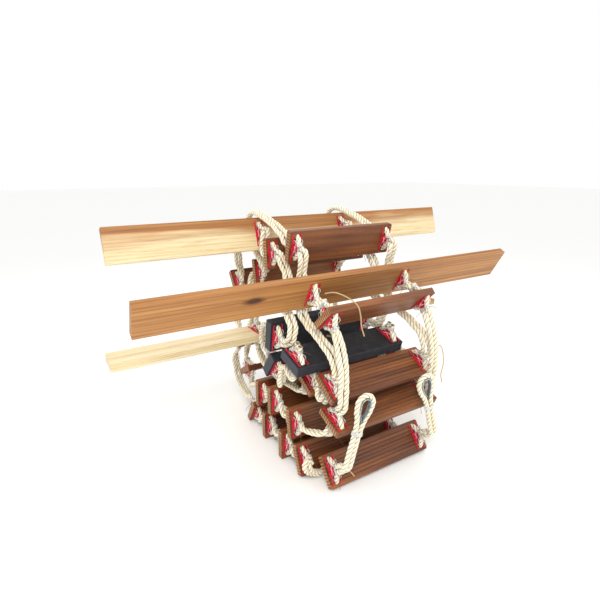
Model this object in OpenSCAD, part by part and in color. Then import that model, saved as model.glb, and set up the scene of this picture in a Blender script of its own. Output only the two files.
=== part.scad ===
// Rolled-up rope ladder with hardwood steps, long spreaders, rubber end steps,
// doubled side ropes, plastic chocks and two thimble eyes. Millimetres, +Z up.

/* [Steps] */
// Length of a step
step_len = 525; // [515:1:530]
// Width of a step, front to back when the ladder hangs
step_w = 135; // [130:1:135]
// Thickness of a hardwood step
step_t = 28; // [26:1:30]
// Thickness of a rubber step
rubber_t = 44; // [40:1:46]
// Depth of the anti-slip grooves
groove_d = 2; // [1:0.5:3]

/* [Spreaders] */
// Length of a spreader
spreader_len = 1800; // [1780:5:1820]
// Width of a spreader
spreader_w = 148; // [140:1:150]
// Thickness of a spreader
spreader_t = 32; // [30:1:34]

/* [Side ropes] */
// Diameter of a side rope
rope_d = 20; // [18:0.5:20]
// Distance between the left and the right pair of ropes
pair_gap = 462; // [456:1:466]
// Distance between the two rope holes at one end of a step
hole_gap = 88; // [86:1:90]
// Diameter of a rope hole
hole_d = 26; // [25:0.5:27]

/* [Chocks and seizings] */
// Height of a chock's wedge above the step
chock_h = 27; // [24:1:28]
// Length of a chock's base plate across the step
chock_len = 114; // [108:1:116]
// Width of a chock's base plate along the step
chock_w = 44; // [42:1:46]
// Length of a seizing
seizing_len = 10; // [8:1:10]

/* [Eyes] */
// Radius of a thimble's round end, inside the rope
thimble_r = 24; // [22:1:26]
// Width of a thimble
thimble_w = 18; // [16:1:20]

/* [Twine] */
// Diameter of the loose twine tails
twine_d = 5; // [4:0.5:6]
// Diameter of the loose rope tail
tail_d = 9; // [8:0.5:10]

/* [Hidden] */
STEP = 0;
RUBBER = 1;
SPREADER = 2;

// Middle of the bundle's footprint, moved to the origin
MIDDLE = [-20, -347.8, -1230];

// Every rung from the lowest to the topmost: name, kind, shift along X,
// centre Y, centre Z, and tilt of the ropes' direction through it
RUNGS = [
    ["rubber_step_1", RUBBER, -90, -650, -716, -74],
    ["rubber_step_2", RUBBER, -60, -410, -828, 37],
    ["rubber_step_3", RUBBER, -90, -474, -663, 189],
    ["spreader_1", SPREADER, -40, -197, -756, -90],
    ["step_01", STEP, 0, -604, -843, 121],
    ["step_02", STEP, 0, -758, -806, 123],
    ["step_03", STEP, -20, -325, -352, -4],
    ["spreader_2", SPREADER, 0, -160, -289, -17],
    ["step_04", STEP, 60, -35, -500, -8],
    ["step_05", STEP, 20, -20, -690, -75],
    ["step_06", STEP, 0, 0, -1035, -120],
    ["step_07", STEP, -60, -285, -1026, 180],
    ["step_08", STEP, -70, -430, -995, 180],
    ["step_09", STEP, -62, -590, -1026, 172],
    ["step_10", STEP, 0, -790, -932, 113],
    ["step_11", STEP, 0, -738, -526, 46],
    ["spreader_3", SPREADER, 0, -607, -459, 28],
    ["step_12", STEP, 0, -485, -300, 11],
    ["step_13", STEP, 0, 18, -315, -40],
    ["step_14", STEP, 0, 104, -574, -34],
    ["step_15", STEP, 0, 125, -900, -76],
    ["step_16", STEP, -60, -205, -1164, 211],
    ["step_17", STEP, -60, -350, -1162.5, 180],
    ["step_18", STEP, -68, -525, -1162.5, 180],
    ["step_19", STEP, -60, -655, -1162, 158],
    ["end_step", STEP, 0, -775, -1168, 142]];
LAST = len(RUNGS) - 1;

// Where the ropes are led between two rungs, as Y and Z after the named one
LEADS = [
    ["rubber_step_1", [[-618, -799], [-596, -796], [-560, -778], [-520, -800], [-498, -860], [-485, -892]]],
    ["rubber_step_2", [[-335, -750], [-340, -690], [-375, -652]]],
    ["rubber_step_3", [[-585, -660], [-600, -610], [-560, -560], [-450, -545], [-300, -575], [-215, -650]]],
    ["spreader_1", [[-205, -850], [-260, -895], [-388, -912], [-490, -914], [-560, -910]]],
    ["step_01", [[-656, -780], [-676, -793], [-686, -823], [-680, -852], [-684, -880], [-704, -888]]],
    ["step_02", [[-800, -720], [-765, -660], [-680, -618], [-590, -575], [-500, -490], [-430, -385]]],
    ["step_03", [[-248, -350], [-238, -325], [-245, -290], [-240, -266]]],
    ["spreader_2", [[-72, -335], [-80, -385], [-125, -430], [-132, -475]]],
    ["step_04", [[34, -530], [20, -580], [-26, -600]]],
    ["step_05", [[5, -810], [18, -900]]],
    ["step_06", [[-75, -1095], [-150, -1050]]],
    ["step_10", [[-836, -850], [-842, -780], [-838, -700], [-808, -620]]],
    ["step_12", [[-390, -258], [-280, -218], [-150, -194], [-70, -210]]],
    ["step_13", [[102, -390], [82, -470]]],
    ["step_14", [[179, -640], [170, -740], [136, -800]]],
    ["step_15", [[150, -1020], [60, -1120], [-70, -1140]]]];

// Turns of the roll, as first and last rung; the topmost rung is apart
TURNS = [["core", 0, 5], ["inner_turn", 6, 10], ["middle_turn", 11, 17],
    ["outer_turn", 18, LAST - 1], ["end_step", LAST, LAST]];

// The loose twine and rope tails: name, diameter, and route
TAILS = [
    ["front_twine_tail", twine_d, [[-218, -690, -448], [-196, -722, -440], [-170, -765, -452],
        [-150, -800, -476], [-138, -806, -515], [-130, -804, -560], [-118, -808, -600]]],
    ["core_rope_tail", tail_d, [[-214, -700, -614], [-190, -716, -620], [-165, -732, -642],
        [-152, -738, -680], [-148, -737, -718], [-140, -739, -752]]],
    ["right_twine_tail", twine_d, [[256, -838, -705], [266, -848, -712], [274, -854, -745],
        [278, -856, -790], [272, -854, -835], [280, -856, -875]]],
    ["end_twine_tail", twine_d, [[-206, -822, -1128], [-196, -840, -1134], [-188, -849, -1146],
        [-178, -850, -1160], [-170, -846, -1172]]]];

// Sides of the ladder: name, sign of X, and lean of the eye to the right
SIDES = [["left", -1, 17], ["right", 1, -16]];

// Bare stretch between the end step's seizing and the eye, which bends there
eye_gap = 30;
// Eye: lowest point, and heights of its throat and of its round end's centre
eye_foot = [0, -876, -1092];
throat_h = 150;
eye_h = 260;

rope_r = rope_d / 2;
// Half the distance between the two ropes where a seizing holds them
pair_r = rope_r + 1.5;
// Radius of the eye's rope around its thimble
eye_r = thimble_r + 3 + rope_r;
plate_t = 3;
seize_at = chock_h + 5;
seize_end = seize_at + seizing_len;
wood = "#8A4A26";
pine = "#D9A868";
rope_colour = "#F2E9CC";

function flat(lists) = [for (l = lists, e = l) e];
function unit(v) = v / norm(v);
function thick(b) = b[1] == RUBBER ? rubber_t : b[1] == SPREADER ? spreader_t : step_t;
function along(b) = [cos(b[5]), sin(b[5])];
function turned(t) = [-t[1], t[0]];
function mid(b) = [b[3], b[4]];
function lead(name) = let (hit = [for (l = LEADS) if (l[0] == name) l[1]]) len(hit) > 0 ? hit[0] : [];
function bezier(a, b, c, d, t) =
    pow(1 - t, 3) * a + 3 * t * pow(1 - t, 2) * b + 3 * t * t * (1 - t) * c + pow(t, 3) * d;

// Point where the seizing ends, before (-1) or after (+1) a rung
function tip(b, way) = mid(b) + way * (thick(b) / 2 + seize_end) * along(b);

// Line through points p with the given directions at its two ends, as points
// that leave out the ends
function smooth_line(p, first, last, parts = 2) = let (
        n = len(p) - 1,
        m = [for (i = [0:n]) i == 0 ? first * norm(p[1] - p[0])
            : i == n ? last * norm(p[n] - p[n - 1]) : (p[i + 1] - p[i - 1]) / 2])
    [for (i = [0:n - 1], k = [1:parts]) if (i < n - 1 || k < parts)
        bezier(p[i], p[i] + m[i] / 3, p[i + 1] - m[i + 1] / 3, p[i + 1], k / parts)];

// Middle line of the pair of ropes from rung i to the next
function gap_line(i) = let (
        b = RUNGS[i], c = RUNGS[i + 1], v = lead(b[0]),
        p = tip(b, 1), q = tip(c, -1), far = norm(q - p))
    len(v) > 0 ? smooth_line(concat([p], v, [q]), along(b), along(c))
        : smooth_line([p, q], 1.2 * along(b), 1.2 * along(c), far < 60 ? 4 : 6);

// Rope on one side (x) and in one hole (way) of rung b: six points
function rung_rope(b, x, way) = let (t = thick(b) / 2)
    [for (s = [[-t - seize_end, pair_r], [-t - seize_at, pair_r], [-t, hole_gap / 2],
            [t, hole_gap / 2], [t + seize_at, pair_r], [t + seize_end, pair_r]])
        let (q = mid(b) + s[0] * along(b) + way * s[1] * turned(along(b))) [b[2] + x, q[0], q[1]]];

// Rope between rungs i and i + 1; the pair turns to lie side by side along X
function gap_rope(i, x, way) = let (
        line = gap_line(i), n = len(line),
        whole = concat([tip(RUNGS[i], 1)], line, [tip(RUNGS[i + 1], -1)]))
    [for (k = [0:n - 1]) let (
            s = (k + 1) / (n + 1),
            side = turned(unit(whole[k + 2] - whole[k])),
            a = 90 * pow(sin(180 * s), 0.7),
            shift = RUNGS[i][2] * (1 - s) + RUNGS[i + 1][2] * s)
        [x + shift + way * pair_r * sin(a),
            line[k][0] + way * pair_r * cos(a) * side[0],
            line[k][1] + way * pair_r * cos(a) * side[1]]];

// Whole side rope from its cut lower end to the last rung before the end step
function side_rope(x, way) = let (first = rung_rope(RUNGS[0], x, way))
    concat([first[0] + 1.6 * (first[0] - first[1])], flat([for (i = [0:LAST - 1])
        concat(rung_rope(RUNGS[i], x, way), i < LAST - 1 ? gap_rope(i, x, way) : [])]));

module sweep(line, r, sides = 8) {
    n = len(line) - 1;
    dirs = [for (i = [0:n]) unit(line[min(i + 1, n)] - line[max(i - 1, 0)])];
    rings = [for (i = [0:n]) let (u = unit(cross(dirs[i], [1, 0.03, 0.02])), v = cross(u, dirs[i]))
        for (k = [0:sides - 1]) line[i] + r * (cos(360 * k / sides) * u + sin(360 * k / sides) * v)];
    walls = [for (i = [0:n - 1], k = [0:sides - 1]) let (a = i * sides, j = (k + 1) % sides)
        for (f = [[a + k, a + j, a + sides + j], [a + k, a + sides + j, a + sides + k]]) f];
    ends = [[for (k = [sides - 1:-1:0]) k], [for (k = [0:sides - 1]) n * sides + k]];
    polyhedron(points = rings, faces = concat(walls, ends), convexity = 10);
}

// A rung's own frame: X along it, Y along the ropes, Z across its width
module at_rung(b) {
    translate([b[2], b[3], b[4]]) rotate([b[5], 0, 0]) children();
}

module rope_holes(t) {
    for (x = [-1, 1], z = [-1, 1])
        translate([x * pair_gap / 2, 0, z * hole_gap / 2]) rotate([90, 0, 0])
            cylinder(d = hole_d, h = t + 2, center = true, $fn = 48);
}

// Outline of a rung's cross-section with its long edges bevelled
module bevelled(t, w, bevel) {
    polygon([[-t / 2 + bevel, -w / 2], [t / 2 - bevel, -w / 2], [t / 2, -w / 2 + bevel],
        [t / 2, w / 2 - bevel], [t / 2 - bevel, w / 2], [-t / 2 + bevel, w / 2],
        [-t / 2, w / 2 - bevel], [-t / 2, -w / 2 + bevel]]);
}

module step_section(t) {
    difference() {
        bevelled(t, step_w, 2);
        for (side = [-1, 1], k = [-3:3])
            translate([side * t / 2, k * 15]) square([2 * groove_d, 4], center = true);
    }
}

module rung_solid(b) {
    t = thick(b);
    l = b[1] == SPREADER ? spreader_len : step_len;
    at_rung(b) difference() {
        rotate([90, 0, 90]) linear_extrude(l, center = true) {
            if (b[1] == SPREADER) bevelled(t, spreader_w, 2);
            if (b[1] == STEP) step_section(t);
            if (b[1] == RUBBER) bevelled(t, step_w, 4);
        }
        rope_holes(t);
    }
}

module rung(b) {
    color(b[1] == STEP ? wood : b[1] == RUBBER ? "#1E2024" : pine) rung_solid(b);
}

// Chock standing on +Y: a plate with two rope openings and a wedge
module chock() {
    difference() {
        translate([-chock_w / 2, 0.3, -chock_len / 2]) cube([chock_w, plate_t, chock_len]);
        for (z = [-1, 1]) translate([0, 0, z * hole_gap / 2]) rotate([-90, 0, 0])
            cylinder(r = hole_gap / 2 - 26, h = 10, $fn = 48);
    }
    translate([-13, 0, 0]) rotate([0, 90, 0]) linear_extrude(26)
        polygon([[-25, plate_t], [25, plate_t], [2, chock_h], [-2, chock_h]]);
}

// Seizing around the pair of ropes, standing on +Y
module seizing() {
    translate([0, seize_at, 0]) rotate([-90, 0, 0]) linear_extrude(seizing_len) difference() {
        union() {
            square([2 * rope_r + 6, 2 * pair_r], center = true);
            for (s = [-1, 1]) translate([0, s * pair_r]) circle(rope_r + 3, $fn = 48);
        }
        for (s = [-1, 1]) translate([0, s * pair_r]) circle(rope_r + 0.3, $fn = 48);
    }
}

// Children at the four rope pairs of a rung
module four_times(b) {
    at_rung(b) for (x = [-1, 1], way = [0, 180])
        translate([x * pair_gap / 2, 0, 0]) rotate([way, 0, 0]) translate([0, thick(b) / 2, 0]) children();
}

module chocks(turn) {
    color("#C8102E") for (i = [turn[1]:turn[2]]) four_times(RUNGS[i]) chock();
}

module seizings(turn) {
    color("white") for (i = [turn[1]:turn[2]]) four_times(RUNGS[i]) seizing();
}

// The two legs of the doubled rope through the end step
module end_rope(x) {
    color(rope_colour) for (way = [-1, 1]) sweep(rung_rope(RUNGS[LAST], x, way), rope_r);
}

// Where side s of the ladder lies along X
function side_x(s) = s[1] * pair_gap / 2;

// A point of the eye's own plane: u across it, e up along it
function eye_point(s, u, e) = eye_foot + [side_x(s) + u * cos(s[2]) + e * sin(s[2]), 0,
    e * cos(s[2]) - u * sin(s[2])];

// Half of the eye's rope, from the end step's seizing to the top of the loop
function eye_half(s, way) = let (
        b = RUNGS[LAST], a = turned(along(b)), p = tip(b, 1) + eye_gap * along(b), q = p + 14 * along(b),
        x = side_x(s))
    concat([[x, p[0] + way * pair_r * a[0], p[1] + way * pair_r * a[1]],
            [x + way * 0.7 * pair_r, q[0] + way * 0.7 * pair_r * a[0], q[1] + way * 0.7 * pair_r * a[1]]],
        [for (v = [[pair_r, 4], [pair_r, throat_h / 2], [pair_r, throat_h], [20, eye_h - 58], [31, eye_h - 33]])
            eye_point(s, way * v[0], v[1])],
        [for (f = [8:20:70]) eye_point(s, way * eye_r * cos(f), eye_h + eye_r * sin(f))]);

module eye_rope(s) {
    up = eye_half(s, -1);
    down = eye_half(s, 1);
    line = concat(up, [eye_point(s, 0, eye_h + eye_r)], [for (i = [len(down) - 1:-1:0]) down[i]]);
    color(rope_colour) sweep(line, rope_r);
}

module in_eye(s) {
    translate(eye_foot + [side_x(s), 0, 0]) rotate([0, s[2], 0]) rotate([90, 0, 0]) children();
}

module drop_outline(r) {
    translate([0, eye_h]) circle(r, $fn = 64);
    polygon([[-r, eye_h], [-0.84 * r, eye_h - 30], [0, eye_h - 48 - r], [0.84 * r, eye_h - 30], [r, eye_h]]);
}

module thimble(s) {
    color("#9FB0B5") in_eye(s) translate([0, 0, -thimble_w / 2]) linear_extrude(thimble_w)
        difference() {
            drop_outline(thimble_r + 2);
            drop_outline(thimble_r - 3);
        }
}

module eye_seizing(s) {
    color("white") in_eye(s) translate([0, throat_h - 14, 0]) rotate([-90, 0, 0]) linear_extrude(14)
        difference() {
            union() {
                square([2 * pair_r, 2 * rope_r + 6], center = true);
                for (way = [-1, 1]) translate([way * pair_r, 0]) circle(rope_r + 3, $fn = 48);
            }
            for (way = [-1, 1]) translate([way * pair_r, 0]) circle(rope_r + 0.3, $fn = 48);
        }
}

module tail(t) {
    color("#C9A67A") sweep(concat([t[2][0]],
        smooth_line(t[2], unit(t[2][1] - t[2][0]), unit(t[2][len(t[2]) - 1] - t[2][len(t[2]) - 2])),
        [t[2][len(t[2]) - 1]]), t[1] / 2);
}

module placed() {
    translate(-MIDDLE) children();
}

for (b = RUNGS) placed() rung(b);
for (s = SIDES) {
    placed() color(rope_colour) sweep(side_rope(side_x(s), 1), rope_r, 6);
    placed() color(rope_colour) sweep(side_rope(side_x(s), -1), rope_r, 6);
    placed() end_rope(side_x(s));
    placed() eye_rope(s);
    placed() thimble(s);
    placed() eye_seizing(s);
}
for (t = TURNS) {
    placed() chocks(t);
    placed() seizings(t);
}
for (t = TAILS) placed() tail(t);
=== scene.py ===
# %% [markdown]
# # A rolled-up escape rope ladder
#
# The object is a marine rope ladder: hardwood steps, three long spreaders, rubber steps at the lower
# end, and two doubled manila ropes a side. It is rolled up and stands on the edges of its steps.
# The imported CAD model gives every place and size. Each cell below makes one kind of piece, and puts
# it where its CAD node is.

# %% Load the frame
import math
import random
import bpy
import bmesh
import numpy as np
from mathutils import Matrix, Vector


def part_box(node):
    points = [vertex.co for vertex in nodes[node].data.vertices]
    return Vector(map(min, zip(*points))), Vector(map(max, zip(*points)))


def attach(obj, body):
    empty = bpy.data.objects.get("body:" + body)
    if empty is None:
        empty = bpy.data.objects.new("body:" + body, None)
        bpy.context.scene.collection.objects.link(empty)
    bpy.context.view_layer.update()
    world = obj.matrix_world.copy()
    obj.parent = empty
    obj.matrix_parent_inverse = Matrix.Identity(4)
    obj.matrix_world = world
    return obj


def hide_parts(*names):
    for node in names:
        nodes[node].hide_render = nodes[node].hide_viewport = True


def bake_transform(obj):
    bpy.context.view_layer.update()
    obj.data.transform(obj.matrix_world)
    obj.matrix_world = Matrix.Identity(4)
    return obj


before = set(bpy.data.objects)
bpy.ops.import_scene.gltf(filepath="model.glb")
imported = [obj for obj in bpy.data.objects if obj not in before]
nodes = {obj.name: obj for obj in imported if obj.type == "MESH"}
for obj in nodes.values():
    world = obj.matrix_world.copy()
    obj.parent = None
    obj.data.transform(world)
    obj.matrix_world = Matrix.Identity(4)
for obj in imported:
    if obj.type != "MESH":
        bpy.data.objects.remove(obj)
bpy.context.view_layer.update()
MM = 0.001

# %% [markdown]
# ## Camera
# The lens is wide and stands close, a little above the bundle's top and to its left. Its height and
# distance are measured from the middle of the object's footprint.

# %% Camera
CAMERA_PLACE = (-1.0972, -1.6522, 1.230)
CAMERA_TURN = 31.09
CAMERA_DIP = 16.62
LENS = 26.39

camera = bpy.data.objects.new("camera", bpy.data.cameras.new("camera"))
camera.data.lens = LENS
camera.data.sensor_width = 36
camera.location = CAMERA_PLACE
camera.rotation_euler = (math.radians(90 - CAMERA_DIP), 0, -math.radians(CAMERA_TURN))
bpy.context.scene.collection.objects.link(camera)
bpy.context.scene.camera = camera

# %% [markdown]
# ## Light and floor
# White floor and white surroundings, one large soft lamp above the left shoulder and weaker ones
# from the right and behind, so that the grooves and the twist of the ropes throw soft shade. The
# standard view transform shows each colour as it is written.

# %% Light and floor
def area_lamp(name, place, aim, size, power):
    lamp = bpy.data.lights.new(name, "AREA")
    lamp.size = size
    lamp.energy = power
    thing = bpy.data.objects.new(name, lamp)
    thing.location = place
    thing.rotation_euler = (Vector(aim) - Vector(place)).to_track_quat("-Z", "Y").to_euler()
    bpy.context.scene.collection.objects.link(thing)


bpy.context.scene.view_settings.view_transform = "Standard"
area_lamp("key", (-1.6, -2.4, 2.8), (0, 0, 0.5), 1.2, 60)
area_lamp("fill", (2.6, -1.6, 1.8), (0, 0, 0.5), 2.0, 12)
area_lamp("back", (0.5, 2.6, 2.6), (0, 0, 0.5), 2.0, 20)

world = bpy.data.worlds.new("studio")
world.use_nodes = True
world.node_tree.nodes["Background"].inputs["Color"].default_value = (1, 1, 1, 1)
world.node_tree.nodes["Background"].inputs["Strength"].default_value = 1.0
bpy.context.scene.world = world

floor_mesh = bpy.data.meshes.new("floor")
REACH = 30
floor_mesh.from_pydata([(-REACH, -REACH, 0), (REACH, -REACH, 0), (REACH, REACH, 0), (-REACH, REACH, 0)],
                       [], [(0, 1, 2, 3)])
floor = bpy.data.objects.new("floor", floor_mesh)
bpy.context.scene.collection.objects.link(floor)

# %% [markdown]
# ## Helpers for materials
# Colours are written as the hex values a painter would pick, and one function turns them into the
# linear values that Blender works in. Another adds a node with its settings and its links.

# %% Material helpers
def linear(hex_colour):
    parts = [int(hex_colour[i:i + 2], 16) / 255 for i in (1, 3, 5)]
    return [p / 12.92 if p <= 0.04045 else ((p + 0.055) / 1.055) ** 2.4 for p in parts] + [1.0]


def add(tree, kind, inputs=None, **settings):
    node = tree.nodes.new(kind)
    for name, value in settings.items():
        setattr(node, name, value)
    for name, value in (inputs or {}).items():
        if isinstance(value, bpy.types.NodeSocket):
            tree.links.new(value, node.inputs[name])
        else:
            node.inputs[name].default_value = value
    return node


def new_material(name, **constants):
    material = bpy.data.materials.new(name)
    material.use_nodes = True
    shader = material.node_tree.nodes["Principled BSDF"]
    for socket, value in constants.items():
        shader.inputs[socket.replace("_", " ")].default_value = value
    return material, material.node_tree, shader


def ramp(tree, factor, stops):
    node = add(tree, "ShaderNodeValToRGB", {"Fac": factor})
    while len(node.color_ramp.elements) < len(stops):
        node.color_ramp.elements.new(0.5)
    for element, (place, colour) in zip(node.color_ramp.elements, stops):
        element.position = place
        element.color = linear(colour)
    return node.outputs["Color"]


def math_node(tree, operation, a, b=0.0, clamp=False):
    return add(tree, "ShaderNodeMath", {0: a, 1: b}, operation=operation, use_clamp=clamp).outputs[0]


def stretched(tree, source, scale, place=(0, 0, 0)):
    return add(tree, "ShaderNodeMapping", {"Vector": source, "Scale": scale, "Location": place}).outputs[0]


def noise(tree, vector, scale, detail=4.0, rough=0.55, twist=0.0):
    settings = {"Vector": vector, "Scale": scale, "Detail": detail, "Roughness": rough, "Distortion": twist}
    return add(tree, "ShaderNodeTexNoise", settings).outputs["Fac"]


def blend_colour(tree, factor, a, b, mode="MIX"):
    node = add(tree, "ShaderNodeMix", data_type="RGBA", blend_type=mode)
    for place, value in ((0, factor), (6, a), (7, b)):
        if isinstance(value, bpy.types.NodeSocket):
            tree.links.new(value, node.inputs[place])
        else:
            node.inputs[place].default_value = value
    return node.outputs[2]


def bump(tree, shader, height, depth_mm, strength=1.0):
    settings = {"Height": height, "Distance": depth_mm * MM, "Strength": strength}
    tree.links.new(add(tree, "ShaderNodeBump", settings).outputs[0], shader.inputs["Normal"])


def attribute(tree, name, out="Vector"):
    return add(tree, "ShaderNodeAttribute", attribute_name=name).outputs[out]


def object_place(tree):
    return add(tree, "ShaderNodeTexCoord").outputs["Object"]

# %% [markdown]
# ## Hardwood
# The steps are oiled tropical hardwood, planed, with grooves milled in the face that is trodden on.
# Long dark and reddish streaks run along the step. The pores are hair-fine dashes, drawn a little
# coarser so that they show. The sawn ends are drier and lighter, with pale bands across them.

# %% Hardwood
def hardwood():
    material, tree, shader = new_material("oiled_hardwood", Roughness=0.48, IOR=1.5)
    grain = attribute(tree, "grain")
    streaks = noise(tree, stretched(tree, grain, (1.6, 34, 34)), 1.0, 6, 0.6, 0.6)
    rings = noise(tree, stretched(tree, grain, (0.7, 14, 14)), 1.0, 3, 0.5, 1.2)
    pores = noise(tree, stretched(tree, grain, (35, 900, 900)), 1.0, 3, 0.6)
    face = ramp(tree, streaks, [(0.25, "#32170B"), (0.42, "#552B14"), (0.55, "#774420"), (0.75, "#A06230")])
    warm = ramp(tree, rings, [(0.3, "#5E3016"), (0.7, "#AC6C38")])
    face = blend_colour(tree, 0.28, face, warm)
    dark_pores = math_node(tree, "MULTIPLY", math_node(tree, "GREATER_THAN", pores, 0.62), 0.55)
    face = blend_colour(tree, dark_pores, face, linear("#2A1109"))
    parts = add(tree, "ShaderNodeSeparateXYZ", {0: attribute(tree, "local")}).outputs
    bands = math_node(tree, "SINE", math_node(tree, "MULTIPLY", parts["Z"], 2 * math.pi / 0.0125))
    bands = math_node(tree, "ADD", bands, math_node(tree, "MULTIPLY", noise(tree, grain, 60, 3), 0.9))
    end = ramp(tree, math_node(tree, "MULTIPLY", bands, 0.7),
               [(0.2, "#8A4B29"), (0.45, "#A9683C"), (0.7, "#C79C5C")])
    at_end = attribute(tree, "end_face", "Fac")
    colour = blend_colour(tree, at_end, face, end)
    # Painted shade: the groove bottoms are darkened towards a near-black brown.
    groove_shade = math_node(tree, "MULTIPLY", attribute(tree, "groove", "Fac"), 0.35)
    colour = blend_colour(tree, groove_shade, colour, linear("#1E0C07"))
    tree.links.new(colour, shader.inputs["Base Color"])
    bump(tree, shader, math_node(tree, "ADD", pores, math_node(tree, "MULTIPLY", streaks, 2.0)), 0.35, 0.7)
    return material


# %% [markdown]
# ## Pine
# The spreaders are long planed softwood boards. Heartwood is honey brown and sapwood is cream, and
# the border between them wanders along the board. A knot is a dark round spot that bends the grain.

# %% Pine
def pine():
    material, tree, shader = new_material("planed_pine", Roughness=0.5, IOR=1.5)
    grain = attribute(tree, "grain")
    off = add(tree, "ShaderNodeVectorMath", {0: attribute(tree, "local"), 1: (0.48, 0, -0.015)},
              operation="ADD").outputs[0]
    far = add(tree, "ShaderNodeVectorMath", {0: stretched(tree, off, (1, 0, 2.4))}, operation="LENGTH")
    knot = math_node(tree, "SUBTRACT", 1.0, math_node(tree, "MULTIPLY", far.outputs["Value"], 18), True)
    knot = math_node(tree, "MULTIPLY", knot, attribute(tree, "knotty", "Fac"))
    bend = add(tree, "ShaderNodeCombineXYZ", {2: math_node(tree, "MULTIPLY", knot, 0.02)}).outputs[0]
    grain = add(tree, "ShaderNodeVectorMath", {0: grain, 1: bend}, operation="ADD").outputs[0]
    streaks = noise(tree, stretched(tree, grain, (0.8, 80, 80)), 1.0, 8, 0.7, 0.5)
    fine = noise(tree, stretched(tree, grain, (6, 420, 420)), 1.0, 3, 0.6)
    heart = ramp(tree, streaks, [(0.3, "#7C4A22"), (0.45, "#A06A36"), (0.57, "#B88247"), (0.72, "#CF9F63")])
    sap = ramp(tree, streaks, [(0.3, "#CFAE78"), (0.5, "#E4CFA0"), (0.7, "#F2E4C2")])
    wander = noise(tree, stretched(tree, grain, (1.2, 9, 9)), 1.0, 3, 0.5)
    border = math_node(tree, "ADD", attribute(tree, "sapwood", "Fac"), math_node(tree, "MULTIPLY", wander, 1.4))
    border = math_node(tree, "MULTIPLY", math_node(tree, "SUBTRACT", border, 0.7), 2.6, True)
    colour = blend_colour(tree, border, heart, sap)
    colour = blend_colour(tree, math_node(tree, "MULTIPLY", knot, 1.6, True), colour, linear("#4A2410"))
    lines = math_node(tree, "MULTIPLY", math_node(tree, "GREATER_THAN", fine, 0.58), 0.3)
    colour = blend_colour(tree, lines, colour, linear("#7A4A22"))
    tree.links.new(colour, shader.inputs["Base Color"])
    bump(tree, shader, math_node(tree, "ADD", fine, streaks), 0.25, 0.6)
    return material


# %% [markdown]
# ## Rubber, plastic and zinc
# Rubber steps are moulded black rubber, dusty grey where hands and decks have rubbed them. Chocks
# are moulded red plastic with faint scuffs. Thimbles are hot-dip galvanised, so the zinc shows pale
# crystals of slightly different grey.

# %% Rubber, plastic and zinc
def rubber():
    material, tree, shader = new_material("moulded_rubber", Roughness=0.62, IOR=1.52)
    place = object_place(tree)
    dust = noise(tree, place, 45, 6, 0.65)
    colour = ramp(tree, dust, [(0.35, "#0F1218"), (0.55, "#191D25"), (0.75, "#30343D")])
    colour = blend_colour(tree, math_node(tree, "MULTIPLY", attribute(tree, "end_face", "Fac"), 0.55),
                          colour, linear("#3A3F4B"))
    tree.links.new(colour, shader.inputs["Base Color"])
    bump(tree, shader, noise(tree, place, 900, 2), 0.2, 0.5)
    return material


def red_plastic():
    material, tree, shader = new_material("moulded_red_plastic", IOR=1.49)
    place = object_place(tree)
    cloud = noise(tree, place, 60, 5, 0.6)
    colour = ramp(tree, cloud, [(0.3, "#A80C22"), (0.5, "#C91530"), (0.72, "#DB2C45")])
    scuffs = noise(tree, stretched(tree, place, (60, 240, 500)), 1.0, 4, 0.7, 0.4)
    mark = math_node(tree, "MULTIPLY", math_node(tree, "GREATER_THAN", scuffs, 0.68), 0.3)
    colour = blend_colour(tree, mark, colour, linear("#E58A92"))
    tree.links.new(colour, shader.inputs["Base Color"])
    rough = add(tree, "ShaderNodeMapRange", {"Value": cloud, "To Min": 0.3, "To Max": 0.5}).outputs[0]
    tree.links.new(rough, shader.inputs["Roughness"])
    bump(tree, shader, cloud, 0.3, 0.4)
    return material


def galvanised():
    material, tree, shader = new_material("galvanised_steel", Metallic=0.85)
    place = object_place(tree)
    crystals = add(tree, "ShaderNodeTexVoronoi", {"Vector": place, "Scale": 160.0}).outputs["Color"]
    grey = add(tree, "ShaderNodeSeparateColor", {0: crystals}).outputs[0]
    colour = ramp(tree, grey, [(0.0, "#8FA0A8"), (0.5, "#A9B8BD"), (1.0, "#C6D0D3")])
    tree.links.new(colour, shader.inputs["Base Color"])
    rough = add(tree, "ShaderNodeMapRange", {"Value": grey, "To Min": 0.32, "To Max": 0.5}).outputs[0]
    tree.links.new(rough, shader.inputs["Roughness"])
    bump(tree, shader, noise(tree, place, 300, 3), 0.2, 0.4)
    return material
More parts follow.
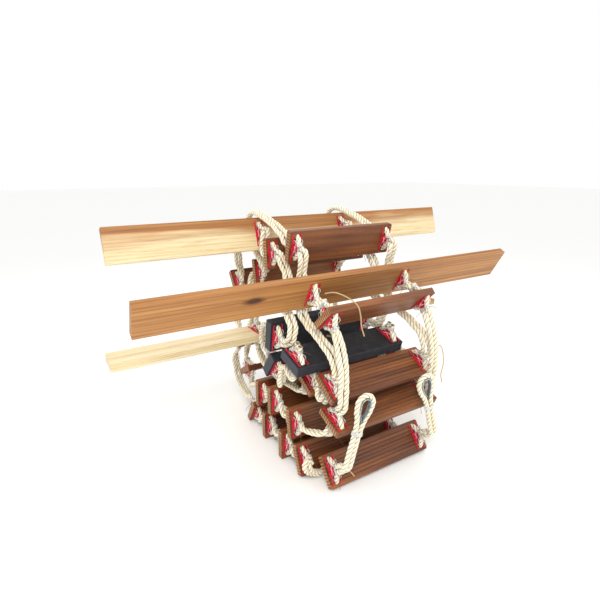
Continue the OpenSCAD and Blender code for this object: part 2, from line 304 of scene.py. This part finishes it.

# %% [markdown]
# ## Rope and twine
# Manila is a hard leaf fibre. Each strand is hundreds of fine yarns that run along it, ivory where
# the sun has bleached them. The hollows between the strands are painted a darker tan, which is painted
# shade. The sweep below leaves two attributes on the mesh: `run`, the length along the rope, and
# `ring`, the place in its section, which turns with the strands. The fibres are noise drawn long in `run` and
# fine in `ring`.

# %% Rope and twine
def fibre(name, light, middle, dark, hollow, radius_mm, fineness):
    material, tree, shader = new_material(name, Roughness=0.85, IOR=1.5)
    shader.inputs["Sheen Weight"].default_value = 0.25
    shader.inputs["Sheen Roughness"].default_value = 0.5
    ring = attribute(tree, "ring")
    run = attribute(tree, "run", "Fac")
    parts = add(tree, "ShaderNodeSeparateXYZ", {0: ring}).outputs
    place = add(tree, "ShaderNodeCombineXYZ", {0: parts["X"], 1: parts["Y"], 2: run}).outputs[0]
    yarns = noise(tree, stretched(tree, place, (fineness, fineness, fineness / 28)), 1.0, 4, 0.6, 0.5)
    patches = noise(tree, object_place(tree), 14, 4, 0.6)
    colour = ramp(tree, yarns, [(0.28, dark), (0.45, middle), (0.62, light)])
    tint = ramp(tree, patches, [(0.35, middle), (0.65, light)])
    colour = blend_colour(tree, 0.35, colour, tint)
    # Painted shade: where the section dips between the strands, the colour goes towards the hollow colour.
    far = add(tree, "ShaderNodeVectorMath", {0: ring}, operation="LENGTH").outputs["Value"]
    depth = math_node(tree, "DIVIDE", far, radius_mm * MM)
    hollow_shade = math_node(tree, "MULTIPLY", math_node(tree, "SUBTRACT", 0.92, depth), 4.0, True)
    colour = blend_colour(tree, hollow_shade, colour, linear(hollow))
    tree.links.new(colour, shader.inputs["Base Color"])
    bump(tree, shader, yarns, 0.6, 0.9)
    return material


HARDWOOD = hardwood()
PINE = pine()
RUBBER = rubber()
RED = red_plastic()
ZINC = galvanised()
ROPE_R = 10.4 * MM
# The fourth colour of each is painted shade for the hollows between the strands.
MANILA = fibre("manila_rope", "#FBF5E2", "#F1E6C6", "#CFB98A", "#80683C", 10.4, 700)
WHITE_TWINE = fibre("white_seizing_twine", "#FFFFFF", "#F6F5F0", "#DCDAD0", "#A9A598", 1.6, 2600)
TAN_TWINE = fibre("tan_sisal_twine", "#D9BB8C", "#C29F6C", "#9A7646", "#6B4D2A", 2.5, 1800)
OLD_ROPE = fibre("weathered_rope", "#A98A5E", "#86683F", "#5E4426", "#332312", 4.5, 1200)
FLOOR = new_material("pale_floor", Base_Color=linear("#FAFAF8"), Roughness=0.9)[0]
floor.data.materials.append(FLOOR)

# %% [markdown]
# ## Finishing a piece
# Every piece ends the same way: it rides on its CAD body and stands for its CAD nodes.

# %% Finish a piece
def object_from(name, mesh, material):
    thing = bpy.data.objects.new(name, mesh)
    bpy.context.scene.collection.objects.link(thing)
    mesh.materials.clear()
    mesh.materials.append(material)
    return thing


def settle(thing, body, slot_name, *stands_for):
    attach(thing, body)
    if stands_for:
        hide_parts(*stands_for)
    return thing

# %% [markdown]
# ## Where each rung lies
# A rung is a step or a spreader. Its CAD box gives its middle, because the board is symmetric, and
# the list gives the tilt of the ropes' direction through it, from the lowest rung to the topmost.

# %% Rungs
TILTS = [
    ("rubber_step_1", -74), ("rubber_step_2", 37), ("rubber_step_3", 189), ("spreader_1", -90),
    ("step_01", 121), ("step_02", 123), ("step_03", -4), ("spreader_2", -17), ("step_04", -8),
    ("step_05", -75), ("step_06", -120), ("step_07", 180), ("step_08", 180), ("step_09", 172),
    ("step_10", 113), ("step_11", 46), ("spreader_3", 28), ("step_12", 11), ("step_13", -40),
    ("step_14", -34), ("step_15", -76), ("step_16", 211), ("step_17", 180), ("step_18", 180),
    ("step_19", 158), ("end_step", 142)]
STEP_T, RUBBER_T, SPREADER_T = 28 * MM, 44 * MM, 32 * MM
STEP_W, SPREADER_W = 135 * MM, 148 * MM


class Rung:
    """One step or spreader, with its middle, thickness, width and the ropes' direction through it."""

    def __init__(self, name, tilt):
        low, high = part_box(name)
        self.name = name
        self.middle = np.array((low + high) / 2)
        self.length = high.x - low.x
        self.thick = RUBBER_T if "rubber" in name else SPREADER_T if "spreader" in name else STEP_T
        self.width = SPREADER_W if "spreader" in name else STEP_W
        a = math.radians(tilt)
        self.along = np.array([0, math.cos(a), math.sin(a)])
        self.across = np.array([0, -math.sin(a), math.cos(a)])

    def place(self, x, n, w):
        """A point given along the rung, along the ropes and across the width."""
        return self.middle + np.array([x, 0, 0]) + n * self.along + w * self.across


rungs = [Rung(name, tilt) for name, tilt in TILTS]
print(len(rungs), "rungs")

# %% [markdown]
# ## Boards
# A board is its cross-section pushed along its length. The steps' section has the milled grooves,
# so they are real geometry, and its long edges are rounded. Close to its ends the section shrinks
# in steps, which rounds the corners. The mesh keeps each point's own place on the board as an
# attribute, so that the grain follows the board and not the room.

# %% Boards
def section(thick, width, edge, grooves):
    """Outline of a board's section as points (thickness, width), with grooves in its tread face only."""
    half_groove, groove_deep, groove_step, lip, slope = 2.1 * MM, 2.0 * MM, 15 * MM, 0.7 * MM, 0.4 * MM
    faces = []
    for milled in (grooves, False):
        face = []
        for turn in (0, 30, 60, 90):
            a = math.radians(turn)
            face.append((thick / 2 - edge + edge * math.sin(a), -width / 2 + edge - edge * math.cos(a)))
        for k in range(-3, 4) if milled else []:
            for w, down in ((-half_groove - lip, 0), (-half_groove, lip), (-half_groove + slope, groove_deep),
                            (half_groove - slope, groove_deep), (half_groove, lip), (half_groove + lip, 0)):
                face.append((thick / 2 - down, k * groove_step + w))
        for turn in (90, 60, 30, 0):
            a = math.radians(turn)
            face.append((thick / 2 - edge + edge * math.sin(a), width / 2 - edge + edge * math.cos(a)))
        faces.append(face)
    return faces[0] + [(-t, -w) for t, w in faces[1]]


def board_mesh(rung, edge, corner, grooves, sapwood):
    """A board as a mesh, with rounded edges and corners, and its own places kept as attributes."""
    outline = section(rung.thick, rung.width, edge, grooves)
    count = len(outline)
    half = rung.length / 2
    ends = [(corner * (1 - math.sin(a)), corner * (1 - math.cos(a))) for a in map(math.radians, (90, 60, 30, 0))]
    stations = [(-half + e, s) for e, s in ends] + [(half - e, s) for e, s in reversed(ends)]
    points, local = [], []
    for number, (x, shrink) in enumerate(stations):
        bevel = 1.0 * MM if number in (0, len(stations) - 1) else 0
        for t, w in outline:
            w_in = math.copysign(min(abs(w), rung.width / 2 - shrink - bevel), w)
            t_in = math.copysign(min(abs(t), rung.thick / 2 - bevel), t)
            points.append(rung.place(x, t_in, w_in))
            local.append((x, t_in, w_in))
    faces = [tuple(reversed(range(count))), tuple(range((len(stations) - 1) * count, len(stations) * count))]
    for s in range(len(stations) - 1):
        for k in range(count):
            a, b = s * count + k, s * count + (k + 1) % count
            faces.append((a, b, b + count, a + count))
    mesh = bpy.data.meshes.new(rung.name + "_board")
    mesh.from_pydata([tuple(p) for p in points], [], faces)
    mesh.validate()
    bm = bmesh.new()
    bm.from_mesh(mesh)
    bmesh.ops.recalc_face_normals(bm, faces=bm.faces)
    bm.to_mesh(mesh)
    bm.free()
    chance = random.Random(rung.name)
    shift = np.array([chance.uniform(0, 9), chance.uniform(0, 9), chance.uniform(0, 9)])
    local = np.array(local)
    for name, values in (("local", local), ("grain", local + shift)):
        mesh.attributes.new(name, "FLOAT_VECTOR", "POINT").data.foreach_set("vector", values.ravel())
    # Mask of the groove bottoms, where the hardwood paints shade.
    sunk = np.abs(local[:, 1]) < rung.thick / 2 - 1.5 * MM
    in_groove = sunk & (np.abs(local[:, 2]) < rung.width / 2 - 6 * MM)
    mesh.attributes.new("groove", "FLOAT", "POINT").data.foreach_set("value", in_groove.astype(float) * grooves)
    side = local[:, 2] / rung.width * sapwood[1] + sapwood[0]
    mesh.attributes.new("sapwood", "FLOAT", "POINT").data.foreach_set("value", side)
    knotty = np.full(len(local), 1.0 if rung.name == "spreader_3" else 0.0)
    mesh.attributes.new("knotty", "FLOAT", "POINT").data.foreach_set("value", knotty)
    end = mesh.attributes.new("end_face", "FLOAT", "CORNER")
    for face in mesh.polygons:
        for corner_index in face.loop_indices:
            end.data[corner_index].value = 1.0 if abs(face.normal.x) > 0.9 else 0.0
    return mesh


SAPWOOD = {"spreader_1": (0.55, 0.4), "spreader_2": (0.25, -1.3), "spreader_3": (-0.35, 0.5)}
for rung in rungs:
    if "spreader" in rung.name:
        mesh = board_mesh(rung, 2.5 * MM, 5 * MM, False, SAPWOOD[rung.name])
        board = object_from(rung.name + "_board", mesh, PINE)
        slot_name = "pine"
    elif "rubber" in rung.name:
        mesh = board_mesh(rung, 4 * MM, 6 * MM, False, (0, 0))
        board = object_from(rung.name + "_board", mesh, RUBBER)
        slot_name = "rubber"
    else:
        mesh = board_mesh(rung, 3 * MM, 8 * MM, True, (0, 0))
        board = object_from(rung.name + "_board", mesh, HARDWOOD)
        slot_name = "hardwood"
    settle(board, "end_step" if rung.name == "end_step" else "root", slot_name, rung.name)
print("boards made")

# %% [markdown]
# ## Laid rope, as a node tree
# A three-strand rope is a three-lobed section that turns as it runs along its line. In Geometry
# Nodes that is a curve whose tilt grows with its length, swept with a circle whose radius dips
# three times. A little noise moves the line, because no used rope runs quite evenly. One tree makes
# the side ropes, the eyes and all the twine.

# %% The rope tree
def rope_tree():
    tree = bpy.data.node_groups.new("laid_rope", "GeometryNodeTree")
    sockets = {}
    for name, kind in (("Geometry", "NodeSocketGeometry"), ("Radius", "NodeSocketFloat"),
                       ("Lay", "NodeSocketFloat"), ("Spacing", "NodeSocketFloat"),
                       ("Hollow", "NodeSocketFloat"), ("Wobble", "NodeSocketFloat"), ("Sides", "NodeSocketInt"),
                       ("Material", "NodeSocketMaterial")):
        sockets[name] = tree.interface.new_socket(name, in_out="INPUT", socket_type=kind).identifier
    tree.interface.new_socket("Geometry", in_out="OUTPUT", socket_type="NodeSocketGeometry")
    given = tree.nodes.new("NodeGroupInput").outputs
    smooth = add(tree, "GeometryNodeCurveSplineType", {"Curve": given["Geometry"]}, spline_type="CATMULL_ROM")
    even = add(tree, "GeometryNodeResampleCurve", {"Curve": smooth.outputs[0], "Length": given["Spacing"]},
               mode="LENGTH")
    spot = add(tree, "GeometryNodeInputPosition").outputs[0]
    stray = add(tree, "ShaderNodeTexNoise", {"Vector": spot, "Scale": 17.0, "Detail": 2.0}).outputs["Color"]
    stray = add(tree, "ShaderNodeVectorMath", {0: stray, 1: (0.5, 0.5, 0.5)}, operation="SUBTRACT").outputs[0]
    stray = add(tree, "ShaderNodeVectorMath", {0: stray, "Scale": given["Wobble"]},
                operation="SCALE").outputs[0]
    uneven = add(tree, "GeometryNodeSetPosition", {"Geometry": even.outputs[0], "Offset": stray})
    run = add(tree, "GeometryNodeSplineParameter").outputs["Length"]
    turns = add(tree, "ShaderNodeMath", {0: run, 1: given["Lay"]}, operation="DIVIDE").outputs[0]
    angle = add(tree, "ShaderNodeMath", {0: turns, 1: 2 * math.pi}, operation="MULTIPLY").outputs[0]
    tilted = add(tree, "GeometryNodeSetCurveTilt", {"Curve": uneven.outputs[0], "Tilt": angle})
    line = add(tree, "GeometryNodeStoreNamedAttribute",
               {"Geometry": tilted.outputs[0], "Name": "run", "Value": run}, data_type="FLOAT", domain="POINT")
    circle = add(tree, "GeometryNodeCurvePrimitiveCircle",
                 {"Resolution": given["Sides"], "Radius": given["Radius"]})
    around = add(tree, "GeometryNodeSplineParameter").outputs["Factor"]
    lobes = add(tree, "ShaderNodeMath", {0: around, 1: 3 * math.pi}, operation="MULTIPLY").outputs[0]
    lobes = add(tree, "ShaderNodeMath", {0: lobes}, operation="SINE").outputs[0]
    lobes = add(tree, "ShaderNodeMath", {0: lobes}, operation="ABSOLUTE").outputs[0]
    lobes = add(tree, "ShaderNodeMath", {0: lobes, 1: 0.6}, operation="POWER").outputs[0]
    dip = add(tree, "ShaderNodeMath", {0: 1.0, 1: lobes}, operation="SUBTRACT").outputs[0]
    dip = add(tree, "ShaderNodeMath", {0: dip, 1: given["Hollow"]}, operation="MULTIPLY").outputs[0]
    size = add(tree, "ShaderNodeMath", {0: 1.0, 1: dip}, operation="SUBTRACT").outputs[0]
    here = add(tree, "GeometryNodeInputPosition").outputs[0]
    scaled = add(tree, "ShaderNodeVectorMath", {0: here, "Scale": size}, operation="SCALE").outputs[0]
    lobed = add(tree, "GeometryNodeSetPosition", {"Geometry": circle.outputs[0], "Position": scaled})
    ring = add(tree, "GeometryNodeInputPosition").outputs[0]
    profile = add(tree, "GeometryNodeStoreNamedAttribute",
                  {"Geometry": lobed.outputs[0], "Name": "ring", "Value": ring},
                  data_type="FLOAT_VECTOR", domain="POINT")
    swept = add(tree, "GeometryNodeCurveToMesh",
                {"Curve": line.outputs[0], "Profile Curve": profile.outputs[0], "Fill Caps": True})
    soft = add(tree, "GeometryNodeSetShadeSmooth", {0: swept.outputs[0]})
    real = add(tree, "GeometryNodeRealizeInstances", {0: soft.outputs[0]})
    painted = add(tree, "GeometryNodeSetMaterial", {"Geometry": real.outputs[0], "Material": given["Material"]})
    add(tree, "NodeGroupOutput", {0: painted.outputs[0]})
    return tree, sockets


ROPE_TREE, ROPE_SOCKETS = rope_tree()


def lay_rope(name, lines, material, radius, lay, spacing, hollow=0.3, sides=24, closed=False, wobble=0.0):
    """Sweeps the rope along each line, a list of points, and returns one plain mesh object."""
    curve = bpy.data.curves.new(name + "_line", "CURVE")
    curve.dimensions = "3D"
    for points in lines:
        spline = curve.splines.new("POLY")
        spline.points.add(len(points) - 1)
        spline.use_cyclic_u = closed
        for point, here in zip(spline.points, points):
            point.co = (*here, 1)
    thing = bpy.data.objects.new(name + "_line", curve)
    bpy.context.scene.collection.objects.link(thing)
    modifier = thing.modifiers.new("laid_rope", "NODES")
    modifier.node_group = ROPE_TREE
    values = {"Radius": radius, "Lay": lay, "Spacing": spacing, "Hollow": hollow, "Wobble": wobble,
              "Sides": sides, "Material": material}
    for socket, value in values.items():
        modifier[ROPE_SOCKETS[socket]] = value
    seen = thing.evaluated_get(bpy.context.evaluated_depsgraph_get())
    mesh = bpy.data.meshes.new_from_object(seen)
    bpy.data.objects.remove(thing)
    mesh.name = name
    return object_from(name, mesh, material)

# %% [markdown]
# ## The side ropes' route
# A pair of ropes goes straight through the two holes of a rung, closes over the wedge of each chock
# to where the seizing grips it, and then runs free to the next rung. Between rungs the pair is led
# as the roll leads it, by the same points as in the CAD source.

# %% The side ropes' route
SHIFT = np.array([20, 347.8, 1230]) * MM
LEADS = {
    "rubber_step_1": [(-618, -799), (-596, -796), (-560, -778), (-520, -800), (-498, -860), (-485, -892)],
    "rubber_step_2": [(-335, -750), (-340, -690), (-375, -652)],
    "rubber_step_3": [(-585, -660), (-600, -610), (-560, -560), (-450, -545), (-300, -575), (-215, -650)],
    "spreader_1": [(-205, -850), (-260, -895), (-388, -912), (-490, -914), (-560, -910)],
    "step_01": [(-656, -780), (-676, -793), (-686, -823), (-680, -852), (-684, -880), (-704, -888)],
    "step_02": [(-800, -720), (-765, -660), (-680, -618), (-590, -575), (-500, -490), (-430, -385)],
    "step_03": [(-248, -350), (-238, -325), (-245, -290), (-240, -266)],
    "spreader_2": [(-72, -335), (-80, -385), (-125, -430), (-132, -475)],
    "step_04": [(34, -530), (20, -580), (-26, -600)],
    "step_05": [(5, -810), (18, -900)],
    "step_06": [(-75, -1095), (-150, -1050)],
    "step_10": [(-836, -850), (-842, -780), (-838, -700), (-808, -620)],
    "step_12": [(-390, -258), (-280, -218), (-150, -194), (-70, -210)],
    "step_13": [(102, -390), (82, -470)],
    "step_14": [(179, -640), (170, -740), (136, -800)],
    "step_15": [(150, -1020), (60, -1120), (-70, -1140)]}
PAIR_GAP, HOLE_GAP, PAIR_R = 462 * MM, 88 * MM, 11.5 * MM
SEIZE_AT, SEIZE_END = 32 * MM, 42 * MM
SIDES_OF_LADDER = (("left", -1), ("right", 1))


def unit(v):
    return v / np.linalg.norm(v)


def bezier(a, b, c, d, t):
    return (1 - t) ** 3 * a + 3 * t * (1 - t) ** 2 * b + 3 * t * t * (1 - t) * c + t ** 3 * d


def tip(rung, way):
    return rung.place(0, way * (rung.thick / 2 + SEIZE_END), 0)


def smooth_line(points, first, last, parts):
    """Points of a smooth line through the given ones, without its two ends."""
    n = len(points) - 1
    slopes = [first * np.linalg.norm(points[1] - points[0])]
    slopes += [(points[i + 1] - points[i - 1]) / 2 for i in range(1, n)]
    slopes.append(last * np.linalg.norm(points[n] - points[n - 1]))
    return [bezier(points[i], points[i] + slopes[i] / 3, points[i + 1] - slopes[i + 1] / 3, points[i + 1],
                   k / parts)
            for i in range(n) for k in range(1, parts + 1) if i < n - 1 or k < parts]


def gap_line(rung, after, between=None):
    start, end = tip(rung, 1), tip(after, -1)
    if between is None:
        spots = LEADS.get(rung.name, [])
        share = [(k + 1) / (len(spots) + 1) for k in range(len(spots))]
        between = [np.array([start[0] * (1 - s) + end[0] * s, y * MM + SHIFT[1], z * MM + SHIFT[2]])
                   for s, (y, z) in zip(share, spots)]
    if between:
        return smooth_line([start, *between, end], rung.along, after.along, 3)
    return smooth_line([start, end], 1.2 * rung.along, 1.2 * after.along, 8)


def rung_rope(rung, x, way):
    half = rung.thick / 2
    stops = [(-half - SEIZE_END, PAIR_R), (-half - SEIZE_AT, PAIR_R), (-half, HOLE_GAP / 2),
             (half, HOLE_GAP / 2), (half + SEIZE_AT, PAIR_R), (half + SEIZE_END, PAIR_R)]
    return [rung.place(x, n, way * w) for n, w in stops]


def gap_rope(rung, after, x, way, between=None):
    """One rope of the pair between two rungs: the pair turns to lie side by side along X."""
    line = gap_line(rung, after, between)
    whole = [tip(rung, 1), *line, tip(after, -1)]
    points = []
    for k, here in enumerate(line):
        s = (k + 1) / (len(line) + 1)
        run = whole[k + 2] - whole[k]
        side = unit(np.array([0, -run[2], run[1]]))
        a = math.pi / 2 * math.sin(math.pi * s) ** 0.7
        apart = math.sin(a) * np.array([1, 0, 0]) + math.cos(a) * side
        points.append(here + np.array([x, 0, 0]) + way * PAIR_R * apart)
    return points


def side_rope(x, way):
    first = rung_rope(rungs[0], x, way)
    points = [first[0] + 1.6 * (first[0] - first[1])]
    for i, rung in enumerate(rungs[:-1]):
        points += rung_rope(rung, x, way)
        if i < len(rungs) - 2:
            points += gap_rope(rung, rungs[i + 1], x, way)
    return points


# One turn of the strands, the space between the swept rings, and how far noise moves the line
ROPE_LAY, RING_SPACING, WOBBLE = 62 * MM, 4.5 * MM, 14 * MM
for side, sign in SIDES_OF_LADDER:
    for name, way in (("front", 1), ("back", -1)):
        line = side_rope(sign * PAIR_GAP / 2, way)
        rope = lay_rope(f"{side}_{name}_laid_rope", [line], MANILA, ROPE_R, ROPE_LAY, RING_SPACING,
                        wobble=WOBBLE)
        settle(rope, "root", "manila_rope", f"{side}_{name}_rope")
        print(rope.name, len(rope.data.polygons), "faces")

# %% [markdown]
# ## Ropes at the topmost step
# The topmost step tips on its lower edge, so its ropes are pieces of their own. A loop of slack
# joins them to the ropes of the roll.

# %% Ropes at the topmost step
end = rungs[-1]
before_end = rungs[-2]
EYE_GAP = 30 * MM
for side, sign in SIDES_OF_LADDER:
    x = sign * PAIR_GAP / 2
    aside = np.array([x, 0, 0])
    legs = lay_rope(f"{side}_end_laid_rope", [rung_rope(end, x, way) for way in (1, -1)], MANILA, ROPE_R,
                    ROPE_LAY, RING_SPACING)
    settle(legs, "end_step", "manila_rope", f"{side}_end_rope")
    start, stop = tip(before_end, 1), tip(end, -1)
    out = -16 * MM if sign < 0 else 12 * MM
    spots = [start + before_end.along * 14 * MM + np.array([out, 0, 0]),
             start + np.array([1.6 * out, -18 * MM, -6 * MM]),
             start + np.array([1.2 * out + 14 * MM, -14 * MM, -44 * MM]),
             stop + np.array([-10 * MM, 14 * MM, -12 * MM])]
    lines = [[rung_rope(before_end, x, way)[5], *gap_rope(before_end, end, x, way, spots),
              rung_rope(end, x, way)[0]] for way in (1, -1)]
    slack = lay_rope(f"{side}_slack_rope", lines, MANILA, ROPE_R, ROPE_LAY, RING_SPACING)
    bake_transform(slack)
    stop = tip(end, 1) + EYE_GAP * end.along
    lines = [[p + s * end.along for s in np.linspace(-1 * MM, EYE_GAP + 3 * MM, 6)]
             for p in (rung_rope(end, x, way)[5] for way in (1, -1))]
    bend = lay_rope(f"{side}_eye_bend_rope", lines, MANILA, ROPE_R, ROPE_LAY, RING_SPACING)
    tuple(tip(end, 1) + aside)
    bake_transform(bend)

# %% [markdown]
# ## Eyes
# Each pair of ropes is one rope, bent round a thimble. The eye's plane stands upright in front of
# the roll: the left eye leans to the right, and the right one a little to the left. White twine
# holds the two legs together at the throat. A thimble is a drop of gutter-shaped steel: here its CAD solid,
# with its edges rounded by a Bevel modifier.

# %% Eyes
EYE_H, THROAT_H, THIMBLE_R = 260 * MM, 150 * MM, 24 * MM
EYE_LEAN = {"left": math.radians(17), "right": math.radians(-16)}
EYE_R = THIMBLE_R + 3 * MM + ROPE_R
EYE_FOOT = np.array([0, -876, -1092]) * MM + SHIFT


def eye_point(side, u, e):
    lean, sign = EYE_LEAN[side], dict(SIDES_OF_LADDER)[side]
    return EYE_FOOT + np.array([sign * PAIR_GAP / 2 + u * math.cos(lean) + e * math.sin(lean), 0,
                                e * math.cos(lean) - u * math.sin(lean)])


def eye_half(side, x, way):
    start = tip(end, 1) + EYE_GAP * end.along
    after = start + 14 * MM * end.along
    points = [start + np.array([x, 0, 0]) + way * PAIR_R * end.across,
              after + np.array([x, 0, 0]) + way * 0.7 * PAIR_R * end.across]
    points += [eye_point(side, way * u, e) for u, e in
               ((PAIR_R, 4 * MM), (PAIR_R, THROAT_H / 2), (PAIR_R, THROAT_H), (20 * MM, EYE_H - 58 * MM),
                (31 * MM, EYE_H - 33 * MM))]
    for turn in (8, 28, 48, 68):
        a = math.radians(turn)
        points.append(eye_point(side, way * EYE_R * math.cos(a), EYE_H + EYE_R * math.sin(a)))
    return points


def stadium(place, u, v, straight, radius, count=20):
    """A closed loop round two ropes: points round two half circles in the plane of u and v."""
    points = []
    for k in range(count):
        a = 2 * math.pi * k / count
        shift = straight if math.cos(a) > 0 else -straight
        points.append(place + u * (shift + radius * math.cos(a)) + v * radius * math.sin(a))
    return points


def rounded_copy(name, node, material, width):
    """The CAD solid's mesh with its sharp edges rounded."""
    mesh = nodes[node].data.copy()
    bm = bmesh.new()
    bm.from_mesh(mesh)
    bmesh.ops.remove_doubles(bm, verts=bm.verts, dist=0.02 * MM)
    bmesh.ops.dissolve_limit(bm, angle_limit=math.radians(1), verts=bm.verts, edges=bm.edges)
    bm.to_mesh(mesh)
    bm.free()
    thing = object_from(name, mesh, material)
    soft = thing.modifiers.new("round", "BEVEL")
    soft.width = width
    soft.segments = 2
    soft.limit_method = "ANGLE"
    soft.angle_limit = math.radians(32)
    soft.use_clamp_overlap = True
    done = bpy.data.meshes.new_from_object(thing.evaluated_get(bpy.context.evaluated_depsgraph_get()))
    thing.modifiers.clear()
    thing.data = done
    return thing


TWINE_R = 1.9 * MM
for side, sign in SIDES_OF_LADDER:
    x = sign * PAIR_GAP / 2
    up, down = eye_half(side, x, -1), eye_half(side, x, 1)
    line = up + [eye_point(side, 0, EYE_H + EYE_R)] + down[::-1]
    loop = lay_rope(f"{side}_eye_laid_rope", [line], MANILA, ROPE_R, ROPE_LAY, RING_SPACING)
    settle(loop, f"{side}_eye", "manila_rope", f"{side}_eye_rope")
    steel = rounded_copy(f"{side}_steel_thimble", f"{side}_thimble", ZINC, 1.4 * MM)
    settle(steel, f"{side}_eye", "galvanised_steel", f"{side}_thimble")
    u = unit(eye_point(side, 1, 0) - eye_point(side, 0, 0))
    turns = [stadium(eye_point(side, 0, THROAT_H - (13 - 3 * k) * MM), u, np.array([0, 1, 0]), PAIR_R,
                     ROPE_R + TWINE_R * 0.6) for k in range(5)]
    throat = lay_rope(f"{side}_throat_twine", turns, WHITE_TWINE, TWINE_R, 9 * MM, 4 * MM, 0.15, 8, True)
    settle(throat, f"{side}_eye", "seizing_twine", f"{side}_eye_seizing")

# %% [markdown]
# ## Chocks and seizings
# A chock is a red wedge on a plate. It keeps its CAD shape and gets rounded edges. White twine
# grips the ropes at its tip in four turns, and crosses over the wedge's two cheeks as a figure of
# eight, which locks chock and ropes together. Its cut ends are left long and stick out, each its
# own way.

# %% Chocks and seizings
TURNS = [("core", 0, 5), ("inner_turn", 6, 10), ("middle_turn", 11, 17), ("outer_turn", 18, 24),
         ("end_step", 25, 25)]


def seizing_lines(rung, x, way):
    x_axis = np.array([1, 0, 0])
    lines = []
    for k in range(4):
        height = way * (rung.thick / 2 + SEIZE_AT + (0.5 + 3 * k) * MM)
        lines.append(stadium(rung.place(x, height, 0), rung.across, x_axis, PAIR_R, ROPE_R + TWINE_R * 0.6))
    for cheek in (-1, 1):
        eight = []
        for k in range(24):
            a = 2 * math.pi * k / 24
            out = cheek * (14.5 * MM - 2 * MM * math.cos(2 * a))
            height = rung.thick / 2 + (13 + 9 * math.sin(2 * a)) * MM
            eight.append(rung.place(x + out, way * height, 36 * MM * math.sin(a)))
        lines.append(eight)
    return lines


def loose_ends(rung, x, way, chance):
    """Cut ends of one seizing: short lines that leave the ropes sideways and then droop."""
    lines = []
    for edge in (-1, 1):
        start = rung.place(x, way * (rung.thick / 2 + SEIZE_AT + 5 * MM), edge * (PAIR_R + ROPE_R - 1 * MM))
        push = unit(edge * rung.across + way * chance.uniform(-0.2, 0.9) * rung.along
                    + np.array([chance.uniform(-0.9, 0.9), 0, 0]))
        long = chance.uniform(22, 46) * MM
        bend = np.array([chance.uniform(-0.4, 0.4), chance.uniform(-0.4, 0.4), -0.6])
        points = [start + long * s * push + long * 0.6 * s * s * bend for s in (0, 0.25, 0.5, 0.75, 1)]
        if min(p[2] for p in points) > 3 * MM:
            lines.append(points)
    return lines


for turn, first, last in TURNS:
    body = "end_step" if turn == "end_step" else "root"
    red = rounded_copy(f"{turn}_red_chocks", f"{turn}_chocks", RED, 1.0 * MM)
    settle(red, body, "chock_plastic", f"{turn}_chocks")
    lines = [line for rung in rungs[first:last + 1] for sign in (-1, 1) for way in (-1, 1)
             for line in seizing_lines(rung, sign * PAIR_GAP / 2, way)]
    twine = lay_rope(f"{turn}_white_twine", lines, WHITE_TWINE, TWINE_R, 9 * MM, 4.5 * MM, 0.15, 8, True)
    settle(twine, body, "seizing_twine", f"{turn}_seizings")
    chance = random.Random(turn)
    lines = [line for rung in rungs[first:last + 1] for sign in (-1, 1) for way in (-1, 1)
             for line in loose_ends(rung, sign * PAIR_GAP / 2, way, chance)]
    cut_ends = lay_rope(f"{turn}_twine_ends", lines, TAN_TWINE, 1.2 * MM, 7 * MM, 3 * MM, 0.15, 6)
    settle(cut_ends, body, "seizing_twine")
    print(turn, len(lines), "cut ends of twine")

# %% [markdown]
# ## Loose tails
# Sisal twine and one old rope end hang out of the roll. They are free cords: each is as long as its
# route, and ends bare.

# %% Loose tails
TAILS = [
    ("front_twine_tail", "root", 5, TAN_TWINE, "tan_twine", [(-218, -690, -448), (-196, -722, -440),
     (-170, -765, -452), (-150, -800, -476), (-138, -806, -515), (-130, -804, -560), (-118, -808, -600)]),
    ("core_rope_tail", "root", 9, OLD_ROPE, "manila_rope", [(-214, -700, -614), (-190, -716, -620),
     (-165, -732, -642), (-152, -738, -680), (-148, -737, -718), (-140, -739, -752)]),
    ("right_twine_tail", "root", 5, TAN_TWINE, "tan_twine", [(256, -838, -705), (266, -848, -712),
     (274, -854, -745), (278, -856, -790), (272, -854, -835), (280, -856, -875)]),
    ("end_twine_tail", "end_step", 5, TAN_TWINE, "tan_twine", [(-206, -822, -1128), (-196, -840, -1134),
     (-188, -849, -1146), (-178, -850, -1160), (-170, -846, -1172)])]

for name, body, wide, material, slot_name, route in TAILS:
    stops = [np.array(p) * MM + SHIFT for p in route]
    line = [stops[0], *smooth_line(stops, unit(stops[1] - stops[0]), unit(stops[-1] - stops[-2]), 4), stops[-1]]
    tail = lay_rope(name + "_cord", [line], material, wide / 2 * MM, 5 * wide * MM, 1.5 * MM, 0.2, 12)
    settle(tail, body, slot_name, name)
